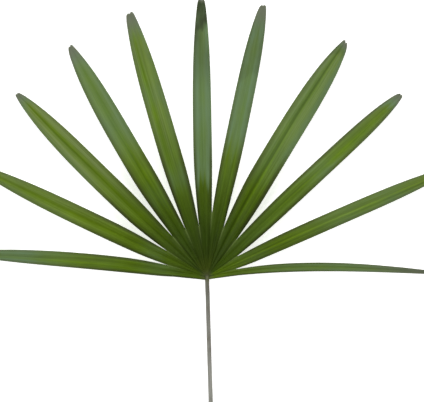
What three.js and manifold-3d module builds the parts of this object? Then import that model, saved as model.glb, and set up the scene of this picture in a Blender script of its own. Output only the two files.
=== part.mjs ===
// A fan palm leaf, cut with its stalk and laid face up on a flat surface.
// The blade is a fan of eleven pleated segments that part from one web.
// Each segment ends in a blunt, toothed tip.
// The petiole is the slender stalk, with the small head and lip where it meets the blade.
// Millimetres, +Z up. The origin is the small flat spot under the petiole's head, and +Y runs up the middle
// of the fan. The leaf rests on that spot, on the petiole's cut end and on the tips of its segments.

import * as THREE from "three";
import { mergeVertices } from "three/addons/utils/BufferGeometryUtils.js";
import Module from "manifold-3d";

const wasm = await Module();
wasm.setup();
const { degToRad, lerp } = THREE.MathUtils;

// Segments, from the right side of the fan round to the left.
// heading: direction of the tip seen from the hub, in degrees from +X towards +Y
// length:  hub to tip in plan
// width:   across the widest place
// tip:     across the blunt end
// taper:   how late the outline draws in towards that end
// bow:     how far the midline curves to the left of the straight line from hub to tip
// rise:    height of the arch between the hub and the tip
// roll:    turn about the midline at the tip, in degrees, left edge up
// slant:   how far the blunt tip leans forward on its left side
// split:   distance from the hub at which it parts from the next segment on its left
// slit:    how fast the slit between the two widens beyond that place
const SEGMENTS = [
  { heading: 0.8, length: 218, width: 8.3, tip: 3.0, taper: 2.2,
    bow: 8.0, rise: 8, roll: 45, slant: 0, split: 27, slit: 0.115 },
  { heading: 23.9, length: 239, width: 14.5, tip: 5.0, taper: 4.0,
    bow: 1.8, rise: 11, roll: 6, slant: 0.8, split: 33, slit: 0.18 },
  { heading: 43.2, length: 241, width: 16.4, tip: 5.0, taper: 5.2,
    bow: 1.2, rise: 13, roll: 4, slant: -0.4, split: 43, slit: 0.13 },
  { heading: 59.4, length: 247, width: 22.8, tip: 5.6, taper: 4.2,
    bow: 3.4, rise: 14, roll: 3, slant: 1.4, split: 48, slit: 0.175 },
  { heading: 78.3, length: 251, width: 17.4, tip: 5.8, taper: 4.4,
    bow: 0.4, rise: 15, roll: -4, slant: -0.6, split: 58, slit: 0.125 },
  { heading: 91.2, length: 251, width: 16.6, tip: 6.4, taper: 3.3,
    bow: 1.4, rise: 16, roll: 3, slant: 0.3, split: 48, slit: 0.105 },
  { heading: 106.4, length: 249, width: 19.8, tip: 7.0, taper: 3.6,
    bow: 0.1, rise: 15, roll: -3, slant: -0.5, split: 48, slit: 0.11 },
  { heading: 120.8, length: 243, width: 20.9, tip: 5.2, taper: 3.8,
    bow: 1.8, rise: 14, roll: 4, slant: -0.8, split: 48, slit: 0.103 },
  { heading: 136.1, length: 239, width: 20.7, tip: 4.6, taper: 3.8,
    bow: 2.1, rise: 13, roll: -4, slant: 0.5, split: 43, slit: 0.115 },
  { heading: 154.4, length: 234, width: 17.3, tip: 4.4, taper: 3.0,
    bow: -0.3, rise: 11, roll: -7, slant: -0.6, split: 38, slit: 0.115 },
  { heading: 174.4, length: 225, width: 14.1, tip: 4.0, taper: 2.8,
    bow: -4.0, rise: 9, roll: -24, slant: 0.4 },
];

// Blade
const BLADE_THICKNESS = 0.7;
const HUB_RADIUS = 2.2; // inner edge of the web, round the petiole's head
const HUB_HEIGHT = 1.0; // underside of the web above the surface at the hub
const WIDEST_AT = 0.47; // share of the length at which a segment is widest
const ROOT_NARROWING = 0.42; // share of the width lost from the widest place to the hub
const BOW_PEAK = 0.85; // under 1 the bow peaks nearer the hub than the tip
const ROLL_FROM = 0.27; // share of the length at which a segment starts to roll, clear of the web
const RIDGE_FOLD = 0.22; // height of the two ridges over the edges, as a share of half the width
const GROOVE_FOLD = 0.11; // height of the middle groove over the edges, as the same share
const WEB_FOLD_GAIN = 1.0; // how much deeper the pleats are at the hub than on the free segments
const WEB_FOLD_REACH = 0.32; // share of the length over which that extra depth fades
const TOOTH = 1.6; // depth of the teeth at the tip

// Foot of the fan: the free sides of the two outermost segments
const FOOT_FLARE = 0.8; // how much wider those two sides are at the hub
const FOOT_DROP = 3.0; // how far below the hub they come down, on either side of the petiole
const FOOT_REACH = 30; // distance from the hub over which the flare and the drop fade

// Rows across a segment: shared distances in the web, then even steps that close up towards the tip
const WEB_ROWS = [HUB_RADIUS, 7, 13, 20, 27, 33, 38, 43, 48, 58];
const FREE_ROWS = 15;
const FREE_ROW_CROWDING = 1.3;

// Columns across a segment, from its right edge to its left edge: edges, ridges and middle groove
const COLUMNS = [
  { across: -1, fold: 0, tooth: 1 },
  { across: -0.5, fold: RIDGE_FOLD, tooth: 0 },
  { across: 0, fold: GROOVE_FOLD, tooth: 0.6 },
  { across: 0.5, fold: RIDGE_FOLD, tooth: 0 },
  { across: 1, fold: 0, tooth: 1 },
];

// Petiole
const PETIOLE_LENGTH = 232;
const PETIOLE_WIDTH = 3.7; // at the hub
const PETIOLE_DEPTH = 2.9; // at the hub
const PETIOLE_THICKENING = 0.2; // share by which it is thicker at the cut end
const PETIOLE_LEAN = degToRad(1.7); // how far it leans to the right of -Y
const PETIOLE_LIFT = 3.0; // height of its slight arch off the surface
const PETIOLE_CUT_SLANT = 0.7; // the cut end is shorter on one side by this share of the width
const PETIOLE_SIDES = 12;
const PETIOLE_STEPS = 26;
const HEAD_GAP = 0.3; // between the petiole's head and the web
const HEAD_RADIUS = HUB_RADIUS - HEAD_GAP;
const HEAD_HEIGHT = 2.9;
const HEAD_SHOULDERS = [0.9, 2.0]; // heights between which the head is widest
const REST_SPOT_RADIUS = 1.7;
const LIP_SIZE = new THREE.Vector3(1.6, 0.9, 0.8); // half sizes of the lip over the hub
const LIP_FORWARD = 0.7; // from the head's middle towards the blade

// Outline of a segment: its full width at a share of its length
function widthAt(segment, share) {
  const short = Math.max(0, 1 - share / WIDEST_AT);
  const past = Math.max(0, (Math.min(1, share) - WIDEST_AT) / (1 - WIDEST_AT));
  const full = lerp(segment.width, segment.tip, Math.pow(past, segment.taper));
  return full * (1 - ROOT_NARROWING * short * short);
}

// Height of the lowest line of a segment's underside
function archAt(segment, share) {
  return HUB_HEIGHT * (1 - share) + segment.rise * Math.sin(Math.PI * share);
}

function bowAt(segment, share) {
  return segment.bow * Math.sin(Math.PI * Math.pow(share, BOW_PEAK));
}

// Direction, seen from the hub, of the midline at a distance from the hub
function bearingAt(segment, distance) {
  return degToRad(segment.heading) + Math.atan2(bowAt(segment, distance / segment.length), distance);
}

// Direction of the seam on the left of a segment, which shares the angle out by the two widths
function seamBearing(index, distance) {
  const [right, left] = [SEGMENTS[index], SEGMENTS[index + 1]];
  const rightWidth = widthAt(right, distance / right.length);
  const leftWidth = widthAt(left, distance / left.length);
  const share = rightWidth / (rightWidth + leftWidth);
  return lerp(bearingAt(right, distance), bearingAt(left, distance), share);
}

function seamPoint(index, distance) {
  const bearing = seamBearing(index, distance);
  const heights = [SEGMENTS[index], SEGMENTS[index + 1]].map((s) => archAt(s, distance / s.length));
  const height = (heights[0] + heights[1]) / 2;
  return new THREE.Vector3(distance * Math.cos(bearing), distance * Math.sin(bearing), height);
}

// The last row of the web that a seam holds together
function splitDistance(index) {
  return Math.max(...WEB_ROWS.filter((row) => row <= SEGMENTS[index].split));
}

// side is -1 for a segment's right edge and 1 for its left edge; the seam there, or -1 at the fan's ends
function seamOn(index, side) {
  const seam = side > 0 ? index : index - 1;
  return seam < SEGMENTS.length - 1 ? seam : -1;
}

function isFused(index, side, distance) {
  const seam = seamOn(index, side);
  return seam >= 0 && distance <= splitDistance(seam);
}

// Half width on the foot side of an outermost segment, which stays above the foot's lowest line
function footHalfWidth(segment, distance, own) {
  const nearHub = Math.max(0, 1 - distance / FOOT_REACH);
  const heading = degToRad(segment.heading);
  const bow = bowAt(segment, distance / segment.length);
  const midline = distance * Math.sin(heading) + bow * Math.cos(heading);
  return Math.min(own + FOOT_FLARE * nearHub, midline + FOOT_DROP * nearHub);
}

function freeHalfWidth(index, side, distance) {
  const segment = SEGMENTS[index];
  const own = widthAt(segment, distance / segment.length) / 2;
  const seam = seamOn(index, side);
  if (seam < 0) return footHalfWidth(segment, distance, own);
  const angle = Math.abs(seamBearing(seam, distance) - bearingAt(segment, distance));
  const slit = SEGMENTS[seam].slit * Math.max(0, distance - splitDistance(seam));
  return Math.min(own, distance * angle - slit / 2);
}

// One row across a segment: a point on the underside and one on the upper side for each column
function rowAt(index, distance, isTip) {
  const segment = SEGMENTS[index];
  const share = distance / segment.length;
  const heading = degToRad(segment.heading);
  const along = new THREE.Vector3(Math.cos(heading), Math.sin(heading), 0);
  const rollShare = Math.max(0, (share - ROLL_FROM) / (1 - ROLL_FROM));
  const roll = degToRad(segment.roll) * rollShare;
  const left = new THREE.Vector3(-along.y, along.x, 0).applyAxisAngle(along, roll);
  const up = new THREE.Vector3(0, 0, 1).applyAxisAngle(along, roll);
  const halves = [-1, 1].map((side) => freeHalfWidth(index, side, distance));
  const half = (halves[0] + halves[1]) / 2;

  const middle = along.clone().multiplyScalar(distance);
  middle.addScaledVector(new THREE.Vector3(-along.y, along.x, 0), bowAt(segment, share));
  middle.z = archAt(segment, share) + half * Math.abs(Math.sin(roll));
  const edges = [-1, 1].map((side, i) =>
    isFused(index, side, distance)
      ? seamPoint(seamOn(index, side), distance)
      : middle.clone().addScaledVector(left, side * halves[i]),
  );

  const deeper = 1 + WEB_FOLD_GAIN * Math.max(0, 1 - share / WEB_FOLD_REACH);
  return COLUMNS.map(({ across, fold, tooth }) => {
    const edge = edges[across < 0 ? 0 : 1];
    const under = middle.clone().lerp(edge, Math.abs(across));
    under.addScaledVector(up, fold * half * deeper);
    if (isTip) under.addScaledVector(along, segment.slant * across - TOOTH * tooth);
    const upper = under.clone().addScaledVector(up, BLADE_THICKNESS);
    return { under, upper };
  });
}

function segmentRows(index) {
  const { length } = SEGMENTS[index];
  const web = WEB_ROWS.map((distance) => rowAt(index, distance, false));
  const from = WEB_ROWS[WEB_ROWS.length - 1];
  const free = Array.from({ length: FREE_ROWS }, (_, i) => {
    const left = Math.pow(1 - (i + 1) / FREE_ROWS, FREE_ROW_CROWDING);
    return rowAt(index, lerp(length, from, left), i === FREE_ROWS - 1);
  });
  return [...web, ...free];
}

// The whole blade as one closed sheet: both faces split alike, and walls round every free edge
function bladeGeometry() {
  const corners = [];
  const quad = (a, b, c, d) => corners.push(a, b, c, a, c, d);
  const wall = (p, q) => quad(q.upper, p.upper, p.under, q.under);
  SEGMENTS.forEach((_, index) => {
    const rows = segmentRows(index);
    const lastColumn = COLUMNS.length - 1;
    const lastRow = rows.length - 1;
    for (let k = 0; k < lastRow; k += 1) {
      for (let j = 0; j < lastColumn; j += 1) {
        const [a, b, c, d] = [rows[k][j + 1], rows[k][j], rows[k + 1][j], rows[k + 1][j + 1]];
        quad(a.upper, b.upper, c.upper, d.upper);
        corners.push(a.under, c.under, b.under, a.under, d.under, c.under);
      }
      const outer = WEB_ROWS[k + 1] ?? Infinity;
      if (!isFused(index, -1, outer)) wall(rows[k][0], rows[k + 1][0]);
      if (!isFused(index, 1, outer)) wall(rows[k + 1][lastColumn], rows[k][lastColumn]);
    }
    for (let j = 0; j < lastColumn; j += 1) {
      wall(rows[0][j + 1], rows[0][j]);
      wall(rows[lastRow][j], rows[lastRow][j + 1]);
    }
  });
  return mergeVertices(new THREE.BufferGeometry().setFromPoints(corners));
}

// Joins closed geometries into one solid
function joined(geometries) {
  const solids = geometries.map((geometry) => {
    geometry.deleteAttribute("normal");
    geometry.deleteAttribute("uv");
    const merged = mergeVertices(geometry);
    const vertProperties = merged.attributes.position.array;
    const triVerts = new Uint32Array(merged.index.array);
    return new wasm.Manifold(new wasm.Mesh({ numProp: 3, vertProperties, triVerts }));
  });
  const mesh = solids.reduce((whole, solid) => whole.add(solid)).getMesh();
  const geometry = new THREE.BufferGeometry();
  geometry.setAttribute("position", new THREE.BufferAttribute(mesh.vertProperties, 3));
  return geometry.setIndex(new THREE.BufferAttribute(mesh.triVerts, 1));
}

// The stalk: an oval section drawn out along -Y, then thickened, leaned and arched by a formula
function stalkGeometry() {
  const corner = Math.PI / PETIOLE_SIDES; // turns the section so that a flat side faces down
  const section = new THREE.Shape(
    Array.from({ length: PETIOLE_SIDES }, (_, i) => {
      const angle = (2 * Math.PI * i) / PETIOLE_SIDES + corner;
      const across = (PETIOLE_WIDTH / 2) * Math.cos(angle);
      return new THREE.Vector2(across, (PETIOLE_DEPTH / 2) * Math.sin(angle));
    }),
  );
  const geometry = new THREE.ExtrudeGeometry(section, {
    depth: PETIOLE_LENGTH,
    steps: PETIOLE_STEPS,
    bevelEnabled: false,
  });
  const floor = (PETIOLE_DEPTH / 2) * Math.cos(corner); // from the section's centre to its flat underside
  const position = geometry.getAttribute("position");
  for (let i = 0; i < position.count; i += 1) {
    const share = position.getZ(i) / PETIOLE_LENGTH;
    const thicker = 1 + PETIOLE_THICKENING * share * share;
    const across = position.getX(i) * thicker;
    const height = (position.getY(i) + floor) * thicker;
    const slant = PETIOLE_CUT_SLANT * across * Math.pow(share, PETIOLE_STEPS);
    const distance = position.getZ(i) + slant;
    const lift = PETIOLE_LIFT * Math.sin(Math.PI * share);
    position.setXYZ(i, across + distance * Math.tan(PETIOLE_LEAN), -distance, height + lift);
  }
  return geometry;
}

// The petiole's head: a low button with a flat spot underneath
function headGeometry() {
  const profile = [
    [0, 0],
    [REST_SPOT_RADIUS, 0],
    [HEAD_RADIUS, HEAD_SHOULDERS[0]],
    [HEAD_RADIUS, HEAD_SHOULDERS[1]],
    [REST_SPOT_RADIUS, HEAD_HEIGHT],
    [0, HEAD_HEIGHT],
  ];
  const points = profile.map(([radius, height]) => new THREE.Vector2(radius, height));
  return new THREE.LatheGeometry(points, PETIOLE_SIDES).rotateX(Math.PI / 2);
}

// The lip: a small raised crescent on top of the head, across the foot of the blade
function lipGeometry() {
  const lip = new THREE.SphereGeometry(1, PETIOLE_SIDES, PETIOLE_SIDES / 2);
  return lip.scale(LIP_SIZE.x, LIP_SIZE.y, LIP_SIZE.z).translate(0, LIP_FORWARD, HEAD_HEIGHT);
}

const bladeGreen = new THREE.MeshStandardMaterial({ color: 0x587827, roughness: 0.5, metalness: 0 });
const stalkGrey = new THREE.MeshStandardMaterial({ color: 0x6b6d5c, roughness: 0.7, metalness: 0 });

const blade = new THREE.Mesh(bladeGeometry(), bladeGreen);
blade.name = "blade";

const petiole = new THREE.Mesh(joined([stalkGeometry(), headGeometry(), lipGeometry()]), stalkGrey);
petiole.name = "petiole";

const leaf = new THREE.Group();
leaf.add(blade, petiole);

export default leaf;
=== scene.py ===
# %% [markdown]
# # A fan palm leaf, cut and laid on a white table
#
# A fan palm carries its leaf on a thin stalk, the petiole. At its top the stalk opens into a
# web, and the web parts into long pleated segments, like the ribs of a hand fan. This lesson
# dresses the solid model of that leaf with a finely ribbed blade, a fibrous stalk and leaf-like
# finishes. It begins by loading the solid model, because every piece has to sit where it sits.

# %% Load the solid model
import math
import random

import bmesh
import bpy
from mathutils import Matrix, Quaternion, Vector, noise


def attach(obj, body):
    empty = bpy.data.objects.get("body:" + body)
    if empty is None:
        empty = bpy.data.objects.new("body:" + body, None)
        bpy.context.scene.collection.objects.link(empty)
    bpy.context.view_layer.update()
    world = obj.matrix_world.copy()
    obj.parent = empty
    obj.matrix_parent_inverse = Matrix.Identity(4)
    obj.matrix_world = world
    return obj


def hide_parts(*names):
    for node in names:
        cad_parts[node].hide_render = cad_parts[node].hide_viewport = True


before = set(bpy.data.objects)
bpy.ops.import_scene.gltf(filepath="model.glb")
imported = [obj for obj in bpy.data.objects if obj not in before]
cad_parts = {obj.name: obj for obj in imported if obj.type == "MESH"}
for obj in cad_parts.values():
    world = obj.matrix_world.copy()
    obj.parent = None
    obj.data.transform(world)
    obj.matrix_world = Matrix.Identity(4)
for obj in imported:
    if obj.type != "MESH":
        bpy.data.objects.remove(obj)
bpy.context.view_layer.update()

# %% [markdown]
# ## The fan's measurements
#
# Each entry is one segment of the fan, from the right side round to the left. The values are the
# solid model's own, in degrees and millimetres, so the fine blade follows the solid one. `heading`
# is where a segment points, `tip` the width of its blunt end and `taper` how late it draws in to
# that end. `bow` is its curve to the left, `rise` its arch, `roll` its turn at the tip and `slant`
# the lean of the blunt end. `split` is where it parts from its neighbour on the left, and `slit`
# how fast the gap then widens. Outlines drawn by hand would do too, but numbers are easier to
# compare with a photograph and to correct one by one.

# %% Segment shapes
SEGMENTS = [
    dict(heading=0.8, length=218, width=8.3, tip=3.0, taper=2.2, bow=8.0, rise=8,
         roll=45, slant=0, split=27, slit=0.115),
    dict(heading=23.9, length=239, width=14.5, tip=5.0, taper=4.0, bow=1.8, rise=11,
         roll=6, slant=0.8, split=33, slit=0.18),
    dict(heading=43.2, length=241, width=16.4, tip=5.0, taper=5.2, bow=1.2, rise=13,
         roll=4, slant=-0.4, split=43, slit=0.13),
    dict(heading=59.4, length=247, width=22.8, tip=5.6, taper=4.2, bow=3.4, rise=14,
         roll=3, slant=1.4, split=48, slit=0.175),
    dict(heading=78.3, length=251, width=17.4, tip=5.8, taper=4.4, bow=0.4, rise=15,
         roll=-4, slant=-0.6, split=58, slit=0.125),
    dict(heading=91.2, length=251, width=16.6, tip=6.4, taper=3.3, bow=1.4, rise=16,
         roll=3, slant=0.3, split=48, slit=0.105),
    dict(heading=106.4, length=249, width=19.8, tip=7.0, taper=3.6, bow=0.1, rise=15,
         roll=-3, slant=-0.5, split=48, slit=0.11),
    dict(heading=120.8, length=243, width=20.9, tip=5.2, taper=3.8, bow=1.8, rise=14,
         roll=4, slant=-0.8, split=48, slit=0.103),
    dict(heading=136.1, length=239, width=20.7, tip=4.6, taper=3.8, bow=2.1, rise=13,
         roll=-4, slant=0.5, split=43, slit=0.115),
    dict(heading=154.4, length=234, width=17.3, tip=4.4, taper=3.0, bow=-0.3, rise=11,
         roll=-7, slant=-0.6, split=38, slit=0.115),
    dict(heading=174.4, length=225, width=14.1, tip=4.0, taper=2.8, bow=-4.0, rise=9,
         roll=-24, slant=0.4, split=0, slit=0),
]
print(len(SEGMENTS), "segments, the longest", max(s["length"] for s in SEGMENTS), "mm")

# %% [markdown]
# ## The outline of a segment
#
# A segment is a strap: narrower where it leaves the web, widest just short of the middle, then
# drawn in late to a blunt tip. Seen from the side it arches off the table and comes down again.
# A curve drawn by hand would do, but a formula lets eleven segments share one shape and still
# differ in size. A share of 0 is the hub and a share of 1 the tip.

# %% Outline, arch and bow
HUB_HEIGHT = 1.0
WIDEST_AT = 0.47
ROOT_NARROWING = 0.42
BOW_PEAK = 0.85


def outline_width(segment, share):
    short = max(0.0, 1 - share / WIDEST_AT)
    past = max(0.0, (min(1.0, share) - WIDEST_AT) / (1 - WIDEST_AT))
    drawn_in = (segment["width"] - segment["tip"]) * past ** segment["taper"]
    return (segment["width"] - drawn_in) * (1 - ROOT_NARROWING * short * short)


def arch_height(segment, share):
    return HUB_HEIGHT * (1 - share) + segment["rise"] * math.sin(math.pi * share)


def sideways_bow(segment, share):
    return segment["bow"] * math.sin(math.pi * share ** BOW_PEAK)


def bearing(segment, distance):
    bow = sideways_bow(segment, distance / segment["length"])
    return math.radians(segment["heading"]) + math.atan2(bow, distance)


print("widths at mid length:", [round(outline_width(s, 0.5), 1) for s in SEGMENTS])

# %% [markdown]
# ## Seams
#
# Near the hub neighbouring segments are one sheet. The line they share, the seam, divides the
# angle between them by their widths. A side of a segment is -1 on its right and 1 on its left, and
# a seam has the number of the segment on its right. The two outermost segments have a free side
# with no seam, which is why `seam_on` can answer with nothing.

# %% Seams between segments
def seam_bearing(seam, distance):
    right, left = SEGMENTS[seam], SEGMENTS[seam + 1]
    right_width = outline_width(right, distance / right["length"])
    left_width = outline_width(left, distance / left["length"])
    share = right_width / (right_width + left_width)
    start = bearing(right, distance)
    return start + share * (bearing(left, distance) - start)


def seam_point(seam, distance):
    angle = seam_bearing(seam, distance)
    heights = [arch_height(s, distance / s["length"]) for s in SEGMENTS[seam:seam + 2]]
    return Vector((distance * math.cos(angle), distance * math.sin(angle), sum(heights) / 2))


def seam_on(index, side):
    seam = index if side > 0 else index - 1
    return seam if 0 <= seam < len(SEGMENTS) - 1 else None


def is_fused(index, side, distance):
    seam = seam_on(index, side)
    return seam is not None and distance <= SEGMENTS[seam]["split"]


print("middle seam 30 mm out:", [round(c, 1) for c in seam_point(5, 30)], "mm")

# %% [markdown]
# ## Slits and the foot of the fan
#
# Further out the seam opens into a slit. The free sides of the two outermost segments come down
# past the hub on either side of the stalk, so the foot of the fan is one shallow curve.
# `half_width` answers the one question that the mesh needs: how far may this side of a segment
# reach here? Two limits compete for the answer. Taking the smaller one would leave a kink where
# they cross, and leaf edges have none, so `soft_min` rounds that corner off.

# %% Slits and foot
FOOT_FLARE = 0.8
FOOT_DROP = 3.0
FOOT_REACH = 30.0
CORNER_SOFTNESS = 1.5


def soft_min(first, second):
    near = max(0.0, CORNER_SOFTNESS - abs(first - second))
    return min(first, second) - near * near / (4 * CORNER_SOFTNESS)


def foot_half_width(segment, distance, own):
    near_hub = max(0.0, 1 - distance / FOOT_REACH)
    heading = math.radians(segment["heading"])
    bow = sideways_bow(segment, distance / segment["length"])
    midline = distance * math.sin(heading) + bow * math.cos(heading)
    return soft_min(own + FOOT_FLARE * near_hub, midline + FOOT_DROP * near_hub)


def half_width(index, side, distance):
    segment = SEGMENTS[index]
    own = outline_width(segment, distance / segment["length"]) / 2
    seam = seam_on(index, side)
    if seam is None:
        return foot_half_width(segment, distance, own)
    angle = abs(seam_bearing(seam, distance) - bearing(segment, distance))
    slit = SEGMENTS[seam]["slit"] * max(0.0, distance - SEGMENTS[seam]["split"])
    return soft_min(own, distance * angle - slit / 2)


print("half widths 60 mm out:", [round(half_width(i, 1, 60), 1) for i in range(len(SEGMENTS))])

# %% [markdown]
# ## The pleat
#
# Across its width a segment is folded like a flat letter M: two rounded ridges with a sharp
# groove along the middle. Thin raised veins run along the ridges, the groove and halfway between.
# The folds are real height in the mesh and not only shading, so they also show from the side.

# %% Pleat and veins across a segment
RIDGE_AT = 0.5
RIDGE_FOLD = 0.22
GROOVE_FOLD = 0.11
VEIN_HEIGHTS = {0.0: 0.10, 0.25: 0.05, 0.5: 0.14, 0.75: 0.06}


def pleat(across):
    out = abs(across)
    if out < RIDGE_AT:
        return GROOVE_FOLD + (RIDGE_FOLD - GROOVE_FOLD) * math.sin(math.pi * out)
    return RIDGE_FOLD * math.cos(math.pi * (out - RIDGE_AT))


def vein_height(across):
    return VEIN_HEIGHTS.get(round(abs(across), 3), 0.0)


print("pleat heights:", [round(pleat(i / 4), 3) for i in range(-4, 5)])

# %% [markdown]
# ## One row across a segment
#
# A row needs its middle, its two edges and the way up. Where the seam still holds, the edge is
# the seam itself, so that two neighbours meet in the same points and can be welded. The outermost
# segments roll over towards their tips, and the row turns with them.

# %% Frame of a row
ROLL_FROM = 0.27


def row_frame(index, distance):
    segment = SEGMENTS[index]
    share = distance / segment["length"]
    heading = math.radians(segment["heading"])
    along = Vector((math.cos(heading), math.sin(heading), 0))
    flat_left = Vector((-along.y, along.x, 0))
    rolled = max(0.0, (share - ROLL_FROM) / (1 - ROLL_FROM))
    roll = math.radians(segment["roll"]) * rolled
    turn = Quaternion(along, roll)
    left = turn @ flat_left
    halves = {side: half_width(index, side, distance) for side in (-1, 1)}
    half = (halves[-1] + halves[1]) / 2
    middle = along * distance + flat_left * sideways_bow(segment, share)
    middle.z = arch_height(segment, share) + half * abs(math.sin(roll))
    edges = {}
    for side in (-1, 1):
        if is_fused(index, side, distance):
            edges[side] = seam_point(seam_on(index, side), distance)
        else:
            edges[side] = middle + left * (side * halves[side])
    slope = math.pi * segment["rise"] * math.cos(math.pi * share) - HUB_HEIGHT
    downhill = along + Vector((0, 0, slope / segment["length"]))
    up = turn @ Vector((0, 0, 1))
    return dict(middle=middle, edges=edges, left=left, up=up,
                downhill=downhill, half=half, share=share)


print("middle segment at 120 mm is", round(2 * row_frame(5, 120)["half"], 1), "mm wide")

# %% [markdown]
# ## Growth and torn tips
#
# No two segments grow alike. Smooth noise gives the same value every time it is asked at the same
# place, so it can ripple the blade a little, let the folds wander and vary their depth. Each use
# reads its own layer of the noise. The blunt tip reaches furthest on the two ridges, falls back at
# the groove and at the edges, and is torn into small teeth. A seeded random draw gives each segment
# teeth of its own, the same on every run.

# %% Growth noise and teeth
ACROSS = 32
NOISE_APART = 7.31
NOISE_LAYER = dict(wander=3.0, fold=11.0, ripple=19.0, wax_and_sheen_amount=29.0, ragged=31.0, dark_end=37.0, furrow=41.0)
TOOTH_SEED = 100
TIP_FALL = 1.6
GROOVE_FALL = 0.6
TOOTH_DEPTH = 0.5
TOOTH_FADE = 6


def growth(index, distance, wavelength, layer):
    return noise.noise(Vector((distance / wavelength, NOISE_APART * index, layer)))


def across_at(column):
    return 2 * column / ACROSS - 1


def side_of(across):
    return -1 if across < 0 else 1


def tip_teeth(index):
    draw = random.Random(TOOTH_SEED + index)
    teeth = []
    for column in range(ACROSS + 1):
        across = across_at(column)
        out = abs(across)
        fall = GROOVE_FALL * (1 - 2 * out) if out < RIDGE_AT else 2 * out - 1
        torn = draw.uniform(-1, 1) * TOOTH_DEPTH * (1 - out ** TOOTH_FADE)
        teeth.append(SEGMENTS[index]["slant"] * across - TIP_FALL * fall + torn)
    return teeth


TEETH = [tip_teeth(index) for index in range(len(SEGMENTS))]
print("teeth of the middle segment:", [round(t, 1) for t in TEETH[5][::4]])

# %% [markdown]
# ## A point on the blade
#
# This helper puts the last cells together. It takes a place on the flat strap, with `across` from
# -1 at the right edge to 1 at the left edge, and returns where that place is on the leaf. The
# ripple and the wander fade out at the edges, so the seams still meet and the weld closes. The
# pleats deepen towards the hub, where the same fold has less room.

# %% Point on the blade
MM = 0.001
SHEET_TOP = 0.7
WANDER = 0.05
WANDER_WAVE = 70
FOLD_CHANGE = 0.3
FOLD_WAVE = 55
WEB_FOLD_GAIN = 1.0
WEB_FOLD_REACH = 0.32
FULL_VEINS_FROM = 5
RIPPLE = 0.45
RIPPLE_WAVE = 32
RIPPLE_SKEW = 0.4
TIP_ZONE = 9.0
TIP_LATENESS = 1.5


def blade_point(index, row, column, distance):
    across = across_at(column)
    inner = 1 - across * across
    point = row["middle"].lerp(row["edges"][side_of(across)], abs(across))
    wander = growth(index, distance, WANDER_WAVE, NOISE_LAYER["wander"])
    point += row["left"] * (WANDER * row["half"] * inner * wander)
    deeper = 1 + WEB_FOLD_GAIN * max(0.0, 1 - row["share"] / WEB_FOLD_REACH)
    deeper *= 1 + FOLD_CHANGE * growth(index, distance, FOLD_WAVE, NOISE_LAYER["fold"])
    lift = pleat(across) * row["half"] * deeper
    lift += vein_height(across) * min(1.0, row["half"] / FULL_VEINS_FROM)
    ripple_layer = NOISE_LAYER["ripple"] + RIPPLE_SKEW * across
    lift += RIPPLE * inner * growth(index, distance, RIPPLE_WAVE, ripple_layer)
    point += row["up"] * (lift + SHEET_TOP)
    near_tip = (distance - SEGMENTS[index]["length"] + TIP_ZONE) / TIP_ZONE
    if near_tip > 0:
        point += row["downhill"] * (TEETH[index][column] * near_tip ** TIP_LATENESS)
    return point * MM


print("near the middle segment's tip:", blade_point(5, row_frame(5, 250), 16, 250))

# %% [markdown]
# ## The skin of each segment
#
# A palm leaf ages unevenly and takes the light differently, so every segment has a skin of its own,
# with painted light in it. `root` is how light the green, which is partly painted shade, already is
# near the hub, `painted_sheen` how strong the painted pale sheen on the flanks of the fold is, and
# `lean` how far off the middle the painted shade of the groove between them lies. `painted_rib_light`
# paints a highlight along the middle rib above 0 and shade below 0, and `yellow` warms the green.
# `wax_and_sheen` is a grey layer, partly wax and partly painted sheen, that starts at
# `wax_and_sheen_from` and is full at `wax_and_sheen_full`. `dry` and `dark_end` are the lengths of
# the dry end and of the darker end, and `dark_end_depth` is how dark that is. Painting the mesh by
# hand is the usual way, but a table can be corrected one value at a time.

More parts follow.
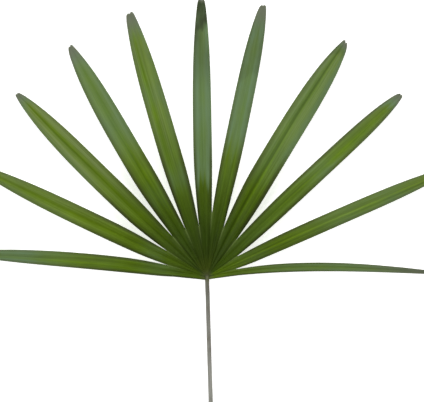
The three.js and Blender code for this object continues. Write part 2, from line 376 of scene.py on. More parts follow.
# %% Segment skins
SKINS = [
    dict(root=0.40, painted_sheen=0.50, lean=0.00, painted_rib_light=0.00, yellow=0.50, wax_and_sheen=0.60,
         wax_and_sheen_from=0, wax_and_sheen_full=120, dry=100, dark_end=0, dark_end_depth=0.00),
    dict(root=0.37, painted_sheen=0.35, lean=-0.35, painted_rib_light=0.30, yellow=0.20, wax_and_sheen=0.20,
         wax_and_sheen_from=60, wax_and_sheen_full=140, dry=14, dark_end=0, dark_end_depth=0.00),
    dict(root=0.20, painted_sheen=0.35, lean=-0.15, painted_rib_light=0.12, yellow=0.00, wax_and_sheen=0.10,
         wax_and_sheen_from=40, wax_and_sheen_full=80, dry=14, dark_end=0, dark_end_depth=0.00),
    dict(root=0.05, painted_sheen=0.70, lean=0.25, painted_rib_light=0.32, yellow=0.00, wax_and_sheen=0.30,
         wax_and_sheen_from=85, wax_and_sheen_full=125, dry=9, dark_end=16, dark_end_depth=0.35),
    dict(root=0.00, painted_sheen=0.40, lean=-0.30, painted_rib_light=0.04, yellow=0.10, wax_and_sheen=0.76,
         wax_and_sheen_from=100, wax_and_sheen_full=135, dry=27, dark_end=68, dark_end_depth=0.28),
    dict(root=0.00, painted_sheen=0.40, lean=0.12, painted_rib_light=-0.06, yellow=0.00, wax_and_sheen=0.85,
         wax_and_sheen_from=80, wax_and_sheen_full=98, dry=4, dark_end=28, dark_end_depth=1.00),
    dict(root=0.00, painted_sheen=0.60, lean=0.30, painted_rib_light=-0.02, yellow=0.10, wax_and_sheen=0.12,
         wax_and_sheen_from=65, wax_and_sheen_full=100, dry=27, dark_end=0, dark_end_depth=0.00),
    dict(root=0.00, painted_sheen=0.55, lean=-0.03, painted_rib_light=-0.05, yellow=0.00, wax_and_sheen=0.42,
         wax_and_sheen_from=115, wax_and_sheen_full=160, dry=25, dark_end=0, dark_end_depth=0.00),
    dict(root=0.12, painted_sheen=1.00, lean=-0.06, painted_rib_light=-0.20, yellow=0.15, wax_and_sheen=0.03,
         wax_and_sheen_from=110, wax_and_sheen_full=140, dry=14, dark_end=0, dark_end_depth=0.00),
    dict(root=0.25, painted_sheen=0.50, lean=0.05, painted_rib_light=-0.06, yellow=0.25, wax_and_sheen=0.05,
         wax_and_sheen_from=125, wax_and_sheen_full=150, dry=12, dark_end=0, dark_end_depth=0.00),
    dict(root=0.30, painted_sheen=0.40, lean=0.30, painted_rib_light=-0.04, yellow=0.10, wax_and_sheen=0.70,
         wax_and_sheen_from=100, wax_and_sheen_full=175, dry=14, dark_end=0, dark_end_depth=0.00),
]
print("stained segments:", [index for index, skin in enumerate(SKINS) if skin["dark_end"]])

# %% [markdown]
# ## Dark margins and pale seams
#
# The edges of a segment are darker than its flanks, each to its own depth, which changes from the
# inner half of the segment to the outer half. Where the web still holds two segments together, the
# seam between them shows as a pale line that brightens towards the slit. Both are marks from 0 up,
# worked out for one place on the strap, and the finish turns them into colour later.

# %% Margin and seam marks
MARGIN_ZONE = (0.5, 0.9)
MARGIN_FADE = 15.0
MARGIN_TURN = (100.0, 140.0)
USUAL_MARGIN = (1.1, 0.7)
MARGINS = {
    (1, -1): (0.7, 0.5), (2, 1): (1.1, 1.15), (3, -1): (1.3, 0.1), (4, -1): (1.1, 0.4),
    (5, -1): (1.1, 0.05), (6, -1): (1.2, 0.4), (6, 1): (1.3, 0.6), (7, 1): (1.3, 0.7),
    (7, -1): (1.2, 0.45), (8, 1): (1.3, 0.3), (9, -1): (1.3, 0.8), (9, 1): (0.9, 0.5),
}
SEAM_GLOW = 24.0
SEAM_SHARPNESS = 8


def ease(low, high, value):
    t = min(1.0, max(0.0, (value - low) / (high - low)))
    return t * t * (3 - 2 * t)


def margin_depth(index, across, distance):
    near, far = MARGINS.get((index, side_of(across)), USUAL_MARGIN)
    return near + (far - near) * ease(*MARGIN_TURN, distance)


def margin_mark(index, across, distance):
    seam = seam_on(index, side_of(across))
    start = 0 if seam is None else SEGMENTS[seam]["split"]
    depth = margin_depth(index, across, distance)
    return depth * ease(*MARGIN_ZONE, abs(across)) * ease(start, start + MARGIN_FADE, distance)


def seam_mark(index, across, distance):
    side = side_of(across)
    if not is_fused(index, side, distance):
        return 0.0
    split = SEGMENTS[seam_on(index, side)]["split"]
    return abs(across) ** SEAM_SHARPNESS * ease(split - SEAM_GLOW, split, distance)


print("margin of the middle segment at 150 mm:", margin_mark(5, 1.0, 150))

# %% [markdown]
# ## Wax and painted sheen
#
# The grey layer is partly wax and partly painted sheen, the grey reflection of tilted flanks. It
# begins in a ragged line, lies thinner in the middle of a segment than on its flanks and gathers in
# patches. Each patch has its middle, its reach and its strength. Margins that are not dark are grey
# instead, and so are the last centimetres before the tip. The parts simply add up.

# %% Wax and painted sheen marks
RAGGED = 14
RAGGED_SPAN = 60
RAGGED_WAVE = 14
WAX_AND_SHEEN_CHANGE = 0.3
WAX_AND_SHEEN_WAVE = 40
WAX_AND_SHEEN_PATCHES = {
    1: ((46, 30, 0.12), (132, 30, 0.16), (182, 26, 0.16)),
    2: ((48, 28, 0.06), (138, 24, 0.32), (229, 12, 0.80)),
    4: ((94, 24, 0.08), (160, 28, 0.25), (229, 14, 0.30)),
    5: ((145, 28, 0.30),),
    6: ((92, 16, 0.22), (170, 18, 0.18)),
    7: ((85, 18, 0.12), (155, 35, 0.15)),
    8: ((228, 10, 0.30),),
    9: ((52, 16, 0.18), (196, 32, 0.12)),
    10: ((44, 26, 0.18), (94, 26, 0.08), (165, 20, 0.15)),
}
WAX_AND_SHEEN_IN_MIDDLE = 0.75
WAX_AND_SHEEN_ON_FLANKS = 1.2
FLANK_ZONE = (0.15, 0.65)
EDGE_WAX_AND_SHEEN = 0.6
EDGE_WAX_AND_SHEEN_ZONE = (0.4, 0.8)
TIP_WAX_AND_SHEEN = 0.6
TIP_WAX_AND_SHEEN_FULL = 3
TIP_WAX_AND_SHEEN_LONGEST = 30.0
TIP_WAX_AND_SHEEN_PAST_DRY = 1.3


# grey wax and painted sheen, heavier on the flanks where the reflection falls
def flank_wax_and_sheen(index, across, distance):
    skin = SKINS[index]
    ragged = RAGGED * growth(index, RAGGED_SPAN * across, RAGGED_WAVE, NOISE_LAYER["ragged"])
    wax_and_sheen_amount = skin["wax_and_sheen"] * (1 + WAX_AND_SHEEN_CHANGE * growth(index, distance, WAX_AND_SHEEN_WAVE, NOISE_LAYER["wax_and_sheen_amount"]))
    wax_and_sheen_amount *= ease(skin["wax_and_sheen_from"] + ragged, skin["wax_and_sheen_full"] + ragged, distance)
    for middle, reach, strength in WAX_AND_SHEEN_PATCHES.get(index, ()):
        wax_and_sheen_amount += strength * (1 - ease(0, reach, abs(distance + ragged - middle)))
    on_flanks = ease(*FLANK_ZONE, abs(across))
    return wax_and_sheen_amount * (WAX_AND_SHEEN_IN_MIDDLE + (WAX_AND_SHEEN_ON_FLANKS - WAX_AND_SHEEN_IN_MIDDLE) * on_flanks)


def wax_and_sheen_mark(index, across, distance, to_tip):
    paler = max(0.0, USUAL_MARGIN[1] - margin_depth(index, across, distance))
    edge = EDGE_WAX_AND_SHEEN * paler * ease(*EDGE_WAX_AND_SHEEN_ZONE, abs(across))
    tip_length = min(TIP_WAX_AND_SHEEN_LONGEST, TIP_WAX_AND_SHEEN_PAST_DRY * SKINS[index]["dry"])
    tip = TIP_WAX_AND_SHEEN * (1 - ease(TIP_WAX_AND_SHEEN_FULL, tip_length, to_tip))
    return min(1.0, flank_wax_and_sheen(index, across, distance) + edge + tip)


print("wax on the middle segment at 150 mm:", wax_and_sheen_mark(5, 0.0, 150, 100))

# %% [markdown]
# ## Dark ends, and all the marks of one place
#
# Some segments turn darker towards the tip, up to a ragged, slanting edge. Beyond it a weaker halo
# follows, first on one side of the segment and then across it. `skin_marks` collects every mark that
# the finishes need, for one point of the mesh: how far the green has opened from its deep start at
# the hub, which is partly painted shade (`tone`), where the point lies on the fold (`flank`), the dry
# tip, a pale spot at the hub and the marks of the last cells. `number` is the segment's own, so that
# no two segments get the same streaks.

# %% Dark end and all marks
DARK_END_SLANT = 4.0
DARK_END_RAGGED = 4
DARK_END_GRAIN = (2.5, 0.12)
DARK_END_EDGE = (-4, 2)
HALO = 0.42
HALO_LEAN = 0.45
HALO_SIDED = 27.0
HALO_END = 62.0
ROOT_FADE = 4
TORN_SHARE = 0.6
DRY_DEPTH = 0.9
DRY_FULL = 0.1
HUB_PALE = (1, 8.0)


# darker towards the tip, up to a ragged, slanting edge, with a weaker halo beyond it
def dark_end_mark(skin, across, to_tip):
    if not skin["dark_end"]:
        return 0.0
    grain = Vector((DARK_END_GRAIN[0] * across, DARK_END_GRAIN[1] * to_tip, NOISE_LAYER["dark_end"]))
    edge = skin["dark_end"] + DARK_END_SLANT * across + DARK_END_RAGGED * noise.noise(grain)
    beyond = to_tip - skin["dark_end"]
    sided = HALO_LEAN * across * (1 - ease(0, HALO_SIDED, beyond))
    halo = max(0.0, HALO + sided) * (1 - ease(HALO_SIDED, HALO_END, beyond))
    dark = 1 - ease(edge + DARK_END_EDGE[0], edge + DARK_END_EDGE[1], to_tip)
    return skin["dark_end_depth"] * max(dark, skin["dark_end_depth"] * halo)


def skin_marks(index, column, distance):
    segment, skin = SEGMENTS[index], SKINS[index]
    across = across_at(column)
    share = distance / segment["length"]
    to_tip = segment["length"] + TORN_SHARE * TEETH[index][column] - distance
    return dict(
        tone=share + skin["root"] * max(0.0, 1 - share) ** ROOT_FADE,
        flank=abs(across - skin["lean"] * (1 - across * across)),
        painted_sheen=skin["painted_sheen"],
        painted_rib_light=skin["painted_rib_light"],
        margin=margin_mark(index, across, distance),
        wax_and_sheen=wax_and_sheen_mark(index, across, distance, to_tip),
        yellow=skin["yellow"],
        dry=DRY_DEPTH * (1 - ease(DRY_FULL * skin["dry"], skin["dry"], to_tip)),
        dark_end=dark_end_mark(skin, across, to_tip),
        seam=seam_mark(index, across, distance),
        hub=1 - ease(*HUB_PALE, distance),
        number=float(index),
    )


print("marks near a tip:", skin_marks(5, 16, 240))

# %% [markdown]
# ## The blade
#
# Each segment starts as a flat grid, which also gives it a tidy UV map: U runs across and V along
# it. The grid's points are then moved to the leaf, one row at a time, and take their marks along.
# Rows in the web lie at the same distances from the hub in every segment, so merging doubles welds
# the fan into one sheet. Further out the rows crowd towards the torn tip.

# %% Blade grid
INNER_RADIUS = 1.4
WEB_END = 58.0
WEB_STEPS = 29
FREE_STEPS = 85
TIP_CROWDING = 1.4
ALONG = WEB_STEPS + FREE_STEPS
WELD = 0.000003


def row_distance(segment, row):
    if row <= WEB_STEPS:
        return INNER_RADIUS + (WEB_END - INNER_RADIUS) * row / WEB_STEPS
    left = 1 - (row - WEB_STEPS) / FREE_STEPS
    return segment["length"] - (segment["length"] - WEB_END) * left ** TIP_CROWDING


sheet = bmesh.new()
sheet.loops.layers.uv.new("strap")
marks = {name: sheet.verts.layers.float.new(name) for name in skin_marks(0, 0, 0.0)}
for index, segment in enumerate(SEGMENTS):
    grid = bmesh.ops.create_grid(sheet, x_segments=ACROSS, y_segments=ALONG, size=1, calc_uvs=True)
    distances = [row_distance(segment, row) for row in range(ALONG + 1)]
    frames = [row_frame(index, distance) for distance in distances]
    for vert in grid["verts"]:
        column = round((1 - vert.co.x) / 2 * ACROSS)
        row = round((vert.co.y + 1) / 2 * ALONG)
        vert.co = blade_point(index, frames[row], column, distances[row])
        for name, value in skin_marks(index, column, distances[row]).items():
            vert[marks[name]] = value
bmesh.ops.remove_doubles(sheet, verts=sheet.verts, dist=WELD)
print("blade sheet:", len(sheet.verts), "points,", len(sheet.faces), "faces")

# %% [markdown]
# ## Thickness
#
# A palm leaf is a thin, leathery sheet. A second sheet could be modelled under the first, but a
# Solidify modifier gives the blade its half millimetre, its underside and its cut edge in one go.
# It hands each its own finish through the material offsets: slot 0 is the upper side, slot 1 the
# paler underside and slot 2 the edge.

# %% Blade object
BLADE_THICKNESS = 0.5


def object_from(shape, name):
    mesh = bpy.data.meshes.new(name)
    shape.to_mesh(mesh)
    shape.free()
    mesh.shade_smooth()
    made = bpy.data.objects.new(name, mesh)
    bpy.context.collection.objects.link(made)
    return made


blade = object_from(sheet, "leaf_blade")
wall = blade.modifiers.new("thickness", "SOLIDIFY")
wall.thickness = BLADE_THICKNESS * MM
wall.offset = -1
wall.material_offset = 1
wall.material_offset_rim = 2
print("blade spans", [round(d / MM) for d in blade.dimensions], "mm")

# %% [markdown]
# ## The stalk's profile
#
# The stalk is slim and a little flattened. It swells slightly towards the cut, and under the web it
# ends in a low rounded head that the segments grow out of. A lathe could turn it if it were round,
# but it is an oval that changes along its length, so two formulas give its half width and its half
# depth. Distances run from the hub to the cut, and the head lies before 0.

# %% Stalk profile
STALK_LENGTH = 232.0
STALK_HALF_WIDTH = 1.85
STALK_HALF_DEPTH = 1.4
STALK_THICKENING = 0.2
HEAD_LENGTH = 2.3
HEAD_HALF_WIDTH = 1.9
HEAD_FLATNESS = 0.75
HEAD_NECK = 30.0


def thickening(distance):
    share = max(0.0, distance / STALK_LENGTH)
    return 1 + STALK_THICKENING * share * share


def head_rounding(distance):
    return math.sqrt(max(0.0, 1 - (min(0.0, distance) / HEAD_LENGTH) ** 2))


def stalk_half_width(distance):
    if distance < 0:
        return HEAD_HALF_WIDTH * head_rounding(distance)
    neck = 1 - ease(0, HEAD_NECK, distance)
    return STALK_HALF_WIDTH * thickening(distance) + neck * (HEAD_HALF_WIDTH - STALK_HALF_WIDTH)


def stalk_half_depth(distance):
    flattened = HEAD_FLATNESS + (1 - HEAD_FLATNESS) * ease(0, HEAD_NECK, distance)
    return STALK_HALF_DEPTH * thickening(distance) * flattened * head_rounding(distance)


print("stalk is", round(2 * stalk_half_width(20), 2), "mm wide near the hub")

# %% [markdown]
# ## The stalk's skin
#
# The stalk is a rolled-up grid: U goes round it and V along it. It leans to one side, arches off
# the table between its ends and was cut at a slant. Two sets of fine furrows run between its fibres,
# one of them drifting round it a little, and smooth noise makes it slightly knobby. They are
# modelled, because a bump alone would leave the outline as straight as a wire.

# %% Stalk grid
STALK_LEAN = math.radians(1.7)
STALK_LIFT = 3.0
STALK_SEAT = 1.08
CUT_SLANT = 0.7
CUT_SHARPNESS = 26
FURROW = 0.025
FURROWS = (11, 17)
FURROW_TURN = 1
FURROW_DRIFT = 2
FURROW_WAVE = 50
KNOB = 0.04
KNOB_LENGTH = 14
STALK_AROUND = 40
STALK_ALONG = 150
STALK_CROWDING = 1.4


def fibre_relief(angle, distance):
    drift = FURROW_DRIFT * growth(0, distance, FURROW_WAVE, NOISE_LAYER["furrow"])
    drifting = math.cos(FURROWS[0] * angle + drift)
    straight = math.cos(FURROWS[1] * angle + FURROW_TURN)
    place = Vector((math.cos(angle), math.sin(angle), distance / KNOB_LENGTH))
    return 1 + FURROW * (drifting + straight) + KNOB * noise.noise(place)


def stalk_point(around, distance):
    angle = math.pi * around
    share = max(0.0, distance / STALK_LENGTH)
    relief = fibre_relief(angle, distance)
    across = stalk_half_width(distance) * relief * math.cos(angle)
    height = stalk_half_depth(distance) * relief * math.sin(angle)
    reach = distance + CUT_SLANT * across * share ** CUT_SHARPNESS
    centre = STALK_SEAT * stalk_half_depth(max(0.0, distance)) + STALK_LIFT * math.sin(math.pi * share)
    return Vector((across + reach * math.tan(STALK_LEAN), -reach, centre + height)) * MM


def stalk_distance(row):
    share = row / STALK_ALONG
    return -HEAD_LENGTH + (STALK_LENGTH + HEAD_LENGTH) * share ** STALK_CROWDING


stem = bmesh.new()
stem.loops.layers.uv.new("strap")
bmesh.ops.create_grid(stem, x_segments=STALK_AROUND, y_segments=STALK_ALONG, size=1, calc_uvs=True)
for vert in stem.verts:
    around, row = vert.co.x, round((vert.co.y + 1) / 2 * STALK_ALONG)
    vert.co = stalk_point(around, stalk_distance(row))
bmesh.ops.remove_doubles(stem, verts=stem.verts, dist=WELD)
print("stalk tube:", len(stem.verts), "points")

# %% [markdown]
# ## The cut end
#
# The stalk was cut with a knife, so its end is flat, slanted and pale inside a darker rind. Filling
# the open ring gives one many-sided face. An inset leaves the rind's ring round it, and the disc
# inside sinks a little, as a drying cut does.

# %% Cut end of the stalk
RIND = 0.28
SUNK = 0.12
PITH_SLOT = 1
open_ring = [edge for edge in stem.edges if edge.is_boundary]
cut = bmesh.ops.holes_fill(stem, edges=open_ring, sides=0)["faces"]
bmesh.ops.recalc_face_normals(stem, faces=stem.faces)
bmesh.ops.inset_region(stem, faces=cut, thickness=RIND * MM, depth=-SUNK * MM, use_even_offset=True)
pith = bmesh.ops.poke(stem, faces=cut)["faces"]
for face in pith:
    face.material_index = PITH_SLOT
print("cut end:", len(open_ring), "edges filled,", len(pith), "pith faces")

# %% [markdown]
# ## The lip
#
# On the upper side, where the stalk meets the web, fan palms have a small papery flap, the
# hastula. It is a little grid bent into a crescent that leans over the fold of the web, and it is
# given thickness right in the mesh, because it is too small to be worth a modifier.

# %% Lip over the hub
LIP_HALF_WIDTH = 1.9
LIP_HEIGHT = 1.0
LIP_THICKNESS = 0.25
LIP_FOOT = Vector((0, 1.0, 2.1))
LIP_REACH = 0.9
LIP_SWEEP = 0.9
LIP_LOWER_SIDES = 0.7
LIP_CURL = 1.4
LIP_STEPS = (16, 6)
LIP_SLOT = 2


def lip_point(across, raised):
    crown = 1 - LIP_LOWER_SIDES * across * across
    forward = LIP_REACH * raised * crown - LIP_SWEEP * across * across
    height = LIP_HEIGHT * crown * math.sin(LIP_CURL * raised)
    return (LIP_FOOT + Vector((LIP_HALF_WIDTH * across, forward, height))) * MM


before = set(stem.faces)
flap = bmesh.ops.create_grid(stem, x_segments=LIP_STEPS[0], y_segments=LIP_STEPS[1], size=1, calc_uvs=True)
for vert in flap["verts"]:
    vert.co = lip_point(vert.co.x, (vert.co.y + 1) / 2)
flap_faces = [face for face in stem.faces if face not in before]
bmesh.ops.solidify(stem, geom=flap_faces, thickness=LIP_THICKNESS * MM)
for face in stem.faces:
    if face not in before:
        face.material_index = LIP_SLOT
stalk = object_from(stem, "leaf_stalk")
print("stalk spans", [round(d / MM, 1) for d in stalk.dimensions], "mm")

# %% [markdown]
# ## Building finishes from nodes
#
# Every finish below is a small graph of nodes ending in a Principled shader. These helpers keep
# such a graph readable: one adds a node, and the others are the few steps used over and over.
# Colours are written as they should look on the screen, from 0 to 255. What the screen shows is
# pigment times light, so `seen` divides by the light level, which was set by trial.

# %% Helpers for finishes
LIGHT_LEVEL = 1.16


def to_linear(level):
    share = level / 255
    return share / 12.92 if level < 11 else ((share + 0.055) / 1.055) ** 2.4


def seen(red, green, blue):
    return [to_linear(level) / LIGHT_LEVEL for level in (red, green, blue)] + [1.0]


def add(tree, kind, inputs=(), **settings):
    made = tree.nodes.new("ShaderNode" + kind)
    for name, value in settings.items():
        setattr(made, name, value)
    for key, value in dict(inputs).items():
        if isinstance(value, bpy.types.NodeSocket):
            tree.links.new(value, made.inputs[key])
        else:
            made.inputs[key].default_value = value
    return made


def calc(tree, operation, first, second=0.0):
    return add(tree, "Math", {0: first, 1: second}, operation=operation).outputs[0]


def blend(tree, factor, first, second, kind="MIX"):
    made = add(tree, "Mix", {0: factor, 6: first, 7: second}, data_type="RGBA", blend_type=kind)
    return made.outputs[2]


def tint(tree, colour, factor):
    return blend(tree, 1.0, colour, factor, "MULTIPLY")


def curve(tree, value, *stops):
    made = add(tree, "ValToRGB", {0: value})
    elements = made.color_ramp.elements
    while len(elements) < len(stops):
        elements.new(0.5)
    for element, (place, colour) in zip(elements, stops):
        element.position = place
        element.color = colour if hasattr(colour, "__len__") else (colour, colour, colour, 1)
    return made.outputs[0]


print("a mid green pigment:", [round(c, 3) for c in seen(88, 112, 32)])

# %% [markdown]
# ## Reading places and patterns
#
# A finish has to know where it is. It can read a mark that was stored on the points, the UV map of
# a strap or the object's own coordinates. `streaks` stretches noise along a strap, `grain` is even
# noise with no direction, and `roughen` turns any pattern into fine relief for the light. Each
# finish starts with `finish`, which makes an empty material and hands over its graph and shader.

# %% Places, patterns and relief
STREAK_APART = 3.7


def mark(tree, name):
    return add(tree, "Attribute", attribute_name=name).outputs["Fac"]


def strap_map(tree):
    return add(tree, "UVMap", uv_map="strap").outputs[0]


def along_strap(tree, uv):
    return add(tree, "SeparateXYZ", {0: uv}).outputs[1]


def off_middle(tree, uv):
    doubled = calc(tree, "MULTIPLY", add(tree, "SeparateXYZ", {0: uv}).outputs[0], 2.0)
    return calc(tree, "ABSOLUTE", calc(tree, "SUBTRACT", doubled, 1.0))


def streaks(tree, uv, across, along, detail=4.0):
    scale = (across, along, 0.0)
    stretched = add(tree, "VectorMath", {0: uv, 1: scale}, operation="MULTIPLY").outputs[0]
    own = calc(tree, "MULTIPLY", mark(tree, "number"), STREAK_APART)
    shift = add(tree, "CombineXYZ", {2: own}).outputs[0]
    place = add(tree, "VectorMath", {0: stretched, 1: shift}, operation="ADD").outputs[0]
    return add(tree, "TexNoise", {"Vector": place, "Scale": 1.0, "Detail": detail}).outputs[0]


def grain(tree, scale, detail):
    where = add(tree, "TexCoord").outputs["Object"]
    return add(tree, "TexNoise", {"Vector": where, "Scale": scale, "Detail": detail}).outputs[0]


def roughen(tree, shader, height, strength, distance):
    bump = add(tree, "Bump", {"Height": height, "Strength": strength, "Distance": distance})
    tree.links.new(bump.outputs[0], shader.inputs["Normal"])


def finish(name):
    material = bpy.data.materials.new(name)
    material.use_nodes = True
    return material, material.node_tree, material.node_tree.nodes["Principled BSDF"]


print("strap map:", [layer.name for layer in blade.data.uv_layers])

# %% [markdown]
# ## The green of the upper side
#
# The upper side is a deep green at the hub that opens to a mid green along the segments. That
# deep green is partly the leaf's own colour and partly painted shade of the deep folds at the hub.
# A picture of a leaf could be wrapped on, but it would stretch differently on every strap. A ramp
# over the `tone` mark, varied by long streaks, fine streaks and blotches, suits all eleven.

# %% Green of the upper side
# the dark greens near the hub are partly the leaf's own colour and partly painted shade of the deep folds
GREENS = (
    (0.02, seen(68, 82, 12)), (0.08, seen(52, 71, 6)), (0.14, seen(51, 72, 5)),
    (0.20, seen(59, 82, 5)), (0.28, seen(71, 96, 5)), (0.36, seen(84, 112, 6)),
    (0.46, seen(93, 123, 7)), (0.58, seen(101, 132, 9)), (0.76, seen(99, 130, 8)),
    (0.95, seen(103, 129, 20)),
)
WARMER = (1.18, 1.02, 0.9, 1)


def upper_green(tree, long_streaks, fine_streaks, blotches):
    green = curve(tree, mark(tree, "tone"), *GREENS)
    green = blend(tree, mark(tree, "yellow"), green, tint(tree, green, WARMER))
    green = tint(tree, green, curve(tree, long_streaks, (0.25, 0.80), (0.75, 1.20)))
    green = tint(tree, green, curve(tree, fine_streaks, (0.3, 0.88), (0.7, 1.12)))
    return tint(tree, green, curve(tree, blotches, (0.3, 0.90), (0.7, 1.10)))


print(len(GREENS), "greens from the hub to the tip")

# %% [markdown]
# ## Painted light on the fold
#
# The light and shade of the fold are painted into the colour too. Where `painted_rib_light` is above
# 0 the middle rib gets a painted highlight, with painted shade in the groove beside it, and where it
# is below 0 the middle gets painted shade. The flanks of the fold get a painted pale sheen, a
# reflection, once the segment has opened. The lamps alone would give some of this, but under soft
# light from all round it would be too weak.

# %% Painted light and shade of the fold
def paint_fold_light(tree, green, uv, fine_streaks):
    # painted highlight along the middle rib where painted_rib_light is above 0, painted shade where it is
    # below
    middle = curve(tree, off_middle(tree, uv), (0.0, 1.0), (0.14, 0.0))
    painted_rib_light = calc(tree, "MULTIPLY", middle, mark(tree, "painted_rib_light"))
    green = tint(tree, green, calc(tree, "ADD", painted_rib_light, 1.0))
    # painted shade in the groove beside a highlighted rib
    beside = curve(tree, mark(tree, "flank"), (0.0, 1.0), (0.20, 0.0))
    painted_groove_shade = calc(tree, "MULTIPLY", beside, calc(tree, "MAXIMUM", mark(tree, "painted_rib_light"), 0.0))
    green = tint(tree, green, calc(tree, "SUBTRACT", 1.0, painted_groove_shade))
    # painted sheen: a pale reflection painted on the flanks of the fold, in the colour below
    flank = curve(tree, mark(tree, "flank"), (0.05, 0.0), (0.35, 0.62), (0.55, 0.75), (0.85, 0.58))
    painted_sheen = calc(tree, "MULTIPLY", flank, mark(tree, "painted_sheen"))
    painted_sheen = calc(tree, "MULTIPLY", painted_sheen, curve(tree, fine_streaks, (0.35, 0.5), (0.65, 1.3)))
    opened = curve(tree, mark(tree, "tone"), (0.36, 0.1), (0.60, 1.0))
    return blend(tree, calc(tree, "MULTIPLY", painted_sheen, opened), green, seen(131, 148, 88))


print("pale ribs:", [index for index, skin in enumerate(SKINS) if skin["painted_rib_light"] > 0])

# %% [markdown]
# ## Wax and painted sheen, seams, margins and age
#
# What lies on the green comes last, from the bottom up: the grey wax with its painted sheen, the
# pale seams, a pale spot at the hub, the dark margins, the darker ends and the dry, brown-grey tips.
# Each is mixed over the colour by its mark, and the same streaks and blotches as before break it up.

# %% Layers on the green
SEAM_SHARE = 0.75
HUB_SHARE = 0.8
MARGIN_SHARE = 0.75


def lay_wax_and_sheen(tree, green, fine_streaks, blotches):
    wax_and_sheen_share = calc(tree, "MULTIPLY", mark(tree, "wax_and_sheen"),
                curve(tree, fine_streaks, (0.25, 0.75), (0.7, 1.15)))
    wax_and_sheen_share = calc(tree, "MULTIPLY", wax_and_sheen_share, curve(tree, blotches, (0.3, 1.12), (0.7, 0.85)))
    # the grey of the wax and of the painted sheen
    return blend(tree, wax_and_sheen_share, green, seen(115, 143, 101))


def draw_edges(tree, green):
    seam = calc(tree, "MULTIPLY", mark(tree, "seam"), SEAM_SHARE)
    green = blend(tree, seam, green, seen(130, 150, 84))
    hub = calc(tree, "MULTIPLY", mark(tree, "hub"), HUB_SHARE)
    green = blend(tree, hub, green, seen(94, 102, 60))
    dark = curve(tree, mark(tree, "tone"), (0.20, seen(48, 58, 22)), (0.36, seen(66, 78, 30)),
                 (0.50, seen(80, 92, 42)), (0.75, seen(90, 102, 60)), (0.95, seen(94, 104, 74)))
    margin = calc(tree, "MULTIPLY", mark(tree, "margin"), MARGIN_SHARE)
    return blend(tree, margin, green, dark)


def show_dark_and_dry_ends(tree, green, blotches):
    # darker towards the tip where dark_end is set, then the dry tips
    broken = curve(tree, blotches, (0.3, 0.75), (0.6, 1.0))
    darkened = calc(tree, "MULTIPLY", mark(tree, "dark_end"), broken)
    green = blend(tree, darkened, green, seen(66, 77, 50))
    return blend(tree, mark(tree, "dry"), green, seen(116, 121, 102))


print("waxed segments:", [index for index, skin in enumerate(SKINS) if skin["wax_and_sheen"] > 0.5])

# %% [markdown]
# ## The upper side
#
# The layers go on in turn, and then the light gets its share: fine lines between the veins and
# finer streaks are raised by a bump, and the gloss varies along the long streaks. A palm leaf is
# leathery, so its shine is broad and weak.

# %% Upper side finish
LINES = 5.6
LINE_WANDER = 0.6
LINE_DEPTH = 0.0003
FINE_SHARE = 0.6


def vein_lines(tree, uv, detail):
    inputs = {"Vector": uv, "Scale": LINES, "Distortion": LINE_WANDER, "Detail": detail}
    return add(tree, "TexWave", inputs, wave_type="BANDS", bands_direction="X").outputs["Fac"]


def leaf_upper():
    material, tree, shader = finish("leaf_upper_green")
    uv = strap_map(tree)
    long_streaks = streaks(tree, uv, 7.0, 3.0)
    fine_streaks = streaks(tree, uv, 22.0, 4.0)
    blotches = streaks(tree, uv, 1.5, 14.0, 2.0)
    green = upper_green(tree, long_streaks, fine_streaks, blotches)
    green = paint_fold_light(tree, green, uv, fine_streaks)
    green = lay_wax_and_sheen(tree, green, fine_streaks, blotches)
    green = show_dark_and_dry_ends(tree, draw_edges(tree, green), blotches)
    tree.links.new(green, shader.inputs["Base Color"])
    finest = calc(tree, "MULTIPLY", streaks(tree, uv, 60.0, 18.0, 3.0), FINE_SHARE)
    roughen(tree, shader, calc(tree, "ADD", vein_lines(tree, uv, 1.0), finest), 0.25, LINE_DEPTH)
    gloss = curve(tree, long_streaks, (0.2, 0.36), (0.8, 0.52))
    tree.links.new(gloss, shader.inputs["Roughness"])
    shader.inputs["Specular IOR Level"].default_value = 0.08
    return material


blade.data.materials.append(leaf_upper())
print("upper side:", len(blade.data.materials[0].node_tree.nodes), "nodes")

# %% [markdown]
# ## The underside and the edge
#
# The underside is paler and duller, with the same lines. The edge is a thin dry line, browner than
# the blade, with tiny dark and light places where minute teeth catch the light.

# %% Underside and edge finishes
def leaf_under():
    material, tree, shader = finish("leaf_under_green")
    uv = strap_map(tree)
    pale = curve(tree, along_strap(tree, uv), (0.0, seen(66, 80, 30)), (0.3, seen(100, 122, 56)),
                 (0.95, seen(108, 126, 66)))
    pale = tint(tree, pale, curve(tree, streaks(tree, uv, 10.0, 2.5), (0.25, 0.78), (0.75, 1.15)))
    pale = blend(tree, mark(tree, "dry"), pale, seen(112, 108, 86))
    tree.links.new(pale, shader.inputs["Base Color"])
    roughen(tree, shader, vein_lines(tree, uv, 2.0), 0.35, LINE_DEPTH)
    shader.inputs["Roughness"].default_value = 0.62
    shader.inputs["Specular IOR Level"].default_value = 0.35
    return material


def leaf_edge():
    material, tree, shader = finish("leaf_edge_olive")
    olive = curve(tree, grain(tree, 900.0, 3.0), (0.3, seen(60, 66, 26)), (0.7, seen(98, 100, 54)))
    tree.links.new(olive, shader.inputs["Base Color"])
    shader.inputs["Roughness"].default_value = 0.7
    return material


blade.data.materials.append(leaf_under())
blade.data.materials.append(leaf_edge())
print("blade finishes:", [m.name for m in blade.data.materials])

# %% [markdown]
# ## The stalk's finishes
#
# The stalk is a dull grey, with darker fibres along it and brown patches, and it turns olive at its
# head under the web. Its cut end is pale straw, with the ends of the fibres as dots. The lip is dry
# and papery. The colour along the stalk and the fibres follow its UV map, because they run with it.
# The patches, the cut and the lip have no direction, so they use the object's coordinates.

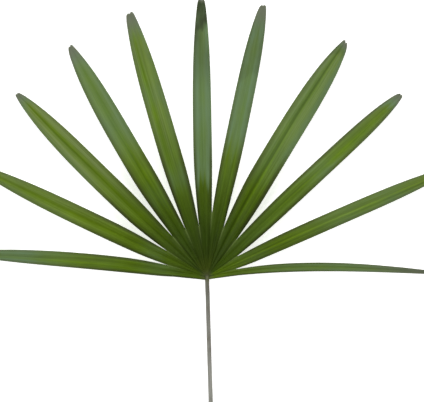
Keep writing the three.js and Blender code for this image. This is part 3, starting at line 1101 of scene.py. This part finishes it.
# %% Stalk finishes
def stalk_skin():
    material, tree, shader = finish("stalk_grey_olive")
    uv = strap_map(tree)
    base = curve(tree, along_strap(tree, uv),
                 (0.00, seen(104, 110, 70)), (0.055, seen(108, 114, 74)), (0.068, seen(104, 109, 74)),
                 (0.085, seen(120, 123, 102)), (0.12, seen(122, 123, 110)), (0.30, seen(150, 150, 140)),
                 (0.60, seen(170, 170, 160)), (1.00, seen(164, 160, 144)))
    fibres = streaks(tree, uv, 26.0, 9.0, 5.0)
    base = tint(tree, base, curve(tree, fibres, (0.3, 0.62), (0.7, 1.25)))
    patches = curve(tree, grain(tree, 60.0, 4.0), (0.5, 0.0), (0.72, 0.5))
    base = blend(tree, patches, base, seen(92, 78, 56))
    tree.links.new(base, shader.inputs["Base Color"])
    roughen(tree, shader, fibres, 0.5, 0.0004)
    shader.inputs["Roughness"].default_value = 0.6
    return material


def cut_pith():
    material, tree, shader = finish("cut_pith_straw")
    where = add(tree, "TexCoord").outputs["Object"]
    ends = add(tree, "TexVoronoi", {"Vector": where, "Scale": 2600.0}).outputs["Distance"]
    straw = curve(tree, ends, (0.1, seen(128, 112, 70)), (0.5, seen(186, 174, 128)))
    tree.links.new(straw, shader.inputs["Base Color"])
    roughen(tree, shader, ends, 0.5, 0.0002)
    shader.inputs["Roughness"].default_value = 0.85
    return material


def dry_lip():
    material, tree, shader = finish("dry_lip_brown")
    brown = curve(tree, grain(tree, 1400.0, 4.0), (0.3, seen(98, 103, 64)), (0.7, seen(130, 134, 96)))
    tree.links.new(brown, shader.inputs["Base Color"])
    shader.inputs["Roughness"].default_value = 0.75
    return material


for made in (stalk_skin(), cut_pith(), dry_lip()):
    stalk.data.materials.append(made)
print("stalk finishes:", [m.name for m in stalk.data.materials])

# %% [markdown]
# ## The pieces take the solids' places
#
# Nothing on the leaf moves, so both pieces ride on the one body, and each stands for its solid.

# %% Ride and replace
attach(blade, "root")
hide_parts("blade")
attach(stalk, "root")
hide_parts("petiole")
print("pieces:", blade.name, stalk.name)

# %% [markdown]
# ## The table
#
# The leaf lies on a white table. A plain white plane under bright lamps would do, but then the
# shadows between the segments turn grey. A table that glows a little by itself stays white, and
# keeps only a faint shadow where the leaf is close to it.

# %% White table
TABLE_SIZE = 20.0
TABLE_BELOW = 0.0002
TABLE_GLOW = 0.7
bpy.ops.mesh.primitive_plane_add(size=TABLE_SIZE, location=(0, 0, -TABLE_BELOW))
table = bpy.context.object
table.name = "white_table"
paper, tree, shader = finish("table_white")
tree.links.new(curve(tree, grain(tree, 40.0, 3.0), (0.3, 0.9), (0.7, 0.92)), shader.inputs["Base Color"])
shader.inputs["Roughness"].default_value = 0.9
shader.inputs["Specular IOR Level"].default_value = 0.1
shader.inputs["Emission Color"].default_value = (1, 1, 1, 1)
shader.inputs["Emission Strength"].default_value = TABLE_GLOW
table.data.materials.append(paper)
print("table:", TABLE_SIZE, "m across")

# %% [markdown]
# ## Soft boxes
#
# Four soft boxes stand round the leaf rather than over it, so that its flat parts reflect a dim
# ceiling and keep their deep green while the flanks of the folds catch some light. The far one,
# beyond the tips, is the strongest and the near one the weakest, so the light has a direction.

# %% Lamps and studio
AIM = Vector((0.0045, 0.0684, 0.006))
BOX_SIZE = 1.0
BOX_DISTANCE = 1.7
STUDIO_LIGHT = 0.15


def soft_box(name, azimuth, elevation, power):
    lamp = bpy.data.lights.new(name, "AREA")
    lamp.energy = power
    lamp.size = BOX_SIZE
    made = bpy.data.objects.new(name, lamp)
    flat, rise = math.radians(azimuth), math.radians(elevation)
    away = Vector((math.cos(flat) * math.cos(rise), math.sin(flat) * math.cos(rise), math.sin(rise)))
    made.location = AIM + away * BOX_DISTANCE
    made.rotation_euler = away.to_track_quat("Z", "Y").to_euler()
    bpy.context.collection.objects.link(made)
    return made


lamps = [
    soft_box("box_left", 180, 48, 9),
    soft_box("box_right", 0, 48, 7),
    soft_box("box_far", 90, 48, 14),
    soft_box("box_near", -90, 42, 2),
]
studio = bpy.data.worlds.new("dim_studio")
studio.use_nodes = True
studio.node_tree.nodes["Background"].inputs["Color"].default_value = (1, 1, 1, 1)
studio.node_tree.nodes["Background"].inputs["Strength"].default_value = STUDIO_LIGHT
bpy.context.scene.world = studio
bpy.context.scene.view_settings.view_transform = "Standard"
print("lamps:", [lamp.name for lamp in lamps])

# %% [markdown]
# ## The camera
#
# A leaf on a table is best seen from straight above, where the whole fan lies open. A long lens set
# well back keeps the raised middle of the segments from looking larger than their tips. The height
# follows from the width of table that the frame should hold.

# %% Camera
FRAME_WIDTH = 0.3816
LENS = 100.0
SENSOR = 36.0
camera = bpy.data.objects.new("camera", bpy.data.cameras.new("camera"))
camera.data.lens = LENS
camera.data.sensor_width = SENSOR
camera.location = AIM + Vector((0, 0, FRAME_WIDTH * LENS / SENSOR))
bpy.context.collection.objects.link(camera)
bpy.context.scene.camera = camera
print("camera", round(camera.location.z, 3), "m over the table")
